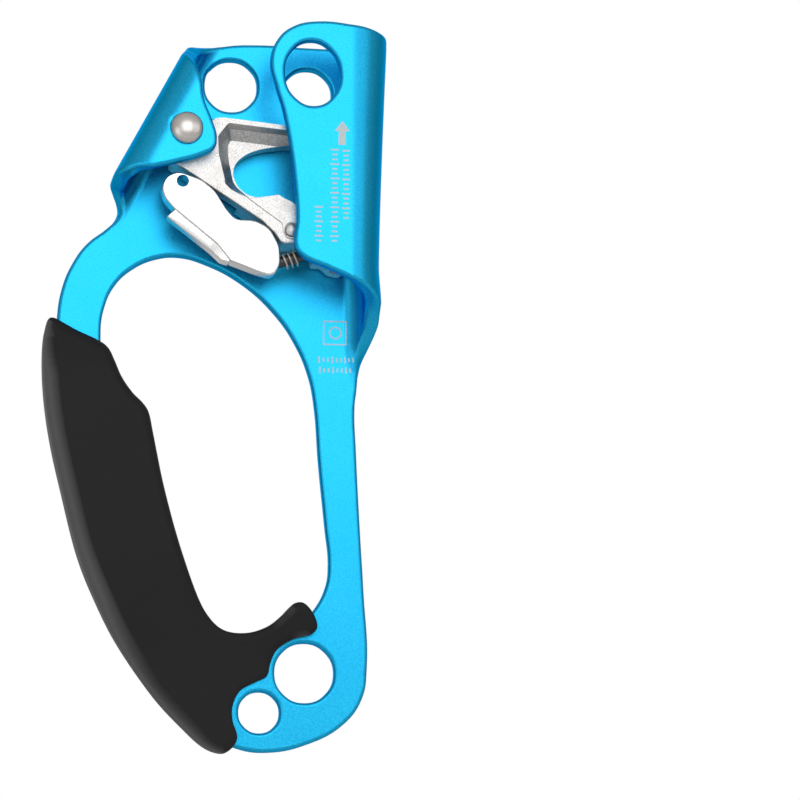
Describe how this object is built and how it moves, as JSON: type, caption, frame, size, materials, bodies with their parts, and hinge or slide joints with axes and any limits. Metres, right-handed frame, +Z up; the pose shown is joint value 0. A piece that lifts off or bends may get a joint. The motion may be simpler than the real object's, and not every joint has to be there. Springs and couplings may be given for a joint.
{
  "type": "hand ascender",
  "caption": "Handled rope ascender: folded plate body with a rope channel, sprung toothed cam, safety catch and moulded rubber grip.",
  "frame": {"origin": "on the rope's axis in the channel, level with the cam's axle, midway between the channel's front and back walls", "axes": "+Z up along the rope, -Y the front face with the catch, +X the channel's closed side"},
  "size_m": [0.0877, 0.0331, 0.187],
  "materials": {
    "anodised_aluminium": "bead-blasted and blue anodised",
    "grip_rubber": "matt moulded",
    "cast_steel": "satin cast",
    "satin_steel": "bright satin",
    "turned_steel": "turned",
    "spring_steel": "drawn wire",
    "bush_bronze": "sintered"
  },
  "bodies": {
    "frame_body": {"frame": "anodised_aluminium", "grip": "grip_rubber", "cam_axle": "turned_steel", "cam_axle_collar": "turned_steel", "cam_bush": "bush_bronze", "cam_front_washer": "turned_steel", "cam_rear_washer": "turned_steel"},
    "cam_body": {"cam": "cast_steel", "toe_pin": "turned_steel", "cam_spring": "spring_steel", "catch_hinge_pin": "turned_steel", "catch_spring": "spring_steel"},
    "catch_body": {"safety_catch": "satin_steel"}
  },
  "joints": [
    {"name": "cam_pivot", "type": "hinge", "parent": "frame_body", "child": "cam_body", "pos_m": [-0.0406, 0, 0], "axis": [0, 1, 0], "range_deg": [0, 26], "stiffness_Nm_per_rad": 0.15, "springref_deg": -57.3},
    {"name": "catch_hinge", "type": "hinge", "parent": "cam_body", "child": "catch_body", "pos_m": [-0.0136, -0.0037, -0.032], "axis": [0.9511, 0, 0.309], "range_deg": [0, 40], "stiffness_Nm_per_rad": 0.02, "springref_deg": -45.84}
  ]
}
